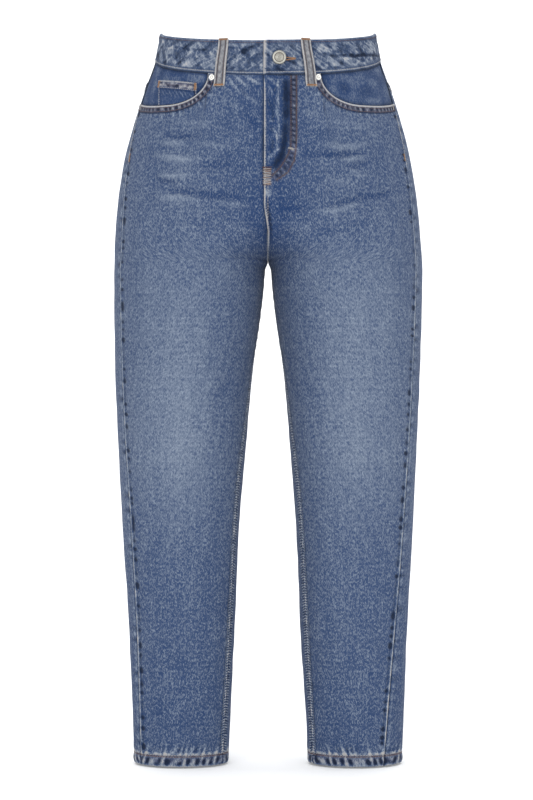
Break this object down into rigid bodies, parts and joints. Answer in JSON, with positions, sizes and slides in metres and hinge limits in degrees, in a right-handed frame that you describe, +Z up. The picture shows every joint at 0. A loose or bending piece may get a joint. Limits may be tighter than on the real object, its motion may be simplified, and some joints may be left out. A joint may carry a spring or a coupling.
{
  "type": "mom jeans",
  "caption": "High-rise tapered denim mom jeans, filled out and empty, with scoop pockets, coin pocket, fly lap, belt loops, metal button and rivets.",
  "frame": {"origin": "centre of the waist ring, half way up the sides of the waistband, where the wearer's waist holds it", "axes": "+Z up along the legs, -Y to the front with the button, +X to the wearer's left"},
  "size_m": [0.4, 0.2383, 0.9446],
  "materials": {
    "denim": "washed mid-blue cotton denim, matt, with faded thighs",
    "denim_band": "the same denim, worn paler and mottled on band and loops",
    "denim_facing": "the same denim, less faded, inside the pocket mouths",
    "antique_silver": "antique silver metal, lightly worn",
    "thread": "pale grey-tan cotton topstitching thread",
    "bar_tack_thread": "orange-tan bar tack thread"
  },
  "bodies": {
    "root": {"front_left": "denim", "front_right": "denim", "back_left": "denim", "back_right": "denim", "yoke_left": "denim", "yoke_right": "denim", "waistband": "denim_band", "pocket_facing_left": "denim_facing", "pocket_facing_right": "denim_facing", "coin_pocket": "denim_facing", "back_pocket_left": "denim", "back_pocket_right": "denim", "belt_loop_front_left": "denim_band", "belt_loop_front_right": "denim_band", "belt_loop_side_left": "denim_band", "belt_loop_side_right": "denim_band", "belt_loop_back": "denim_band", "button": "antique_silver", "rivet_left": "antique_silver", "rivet_right": "antique_silver"}
  },
  "joints": []
}
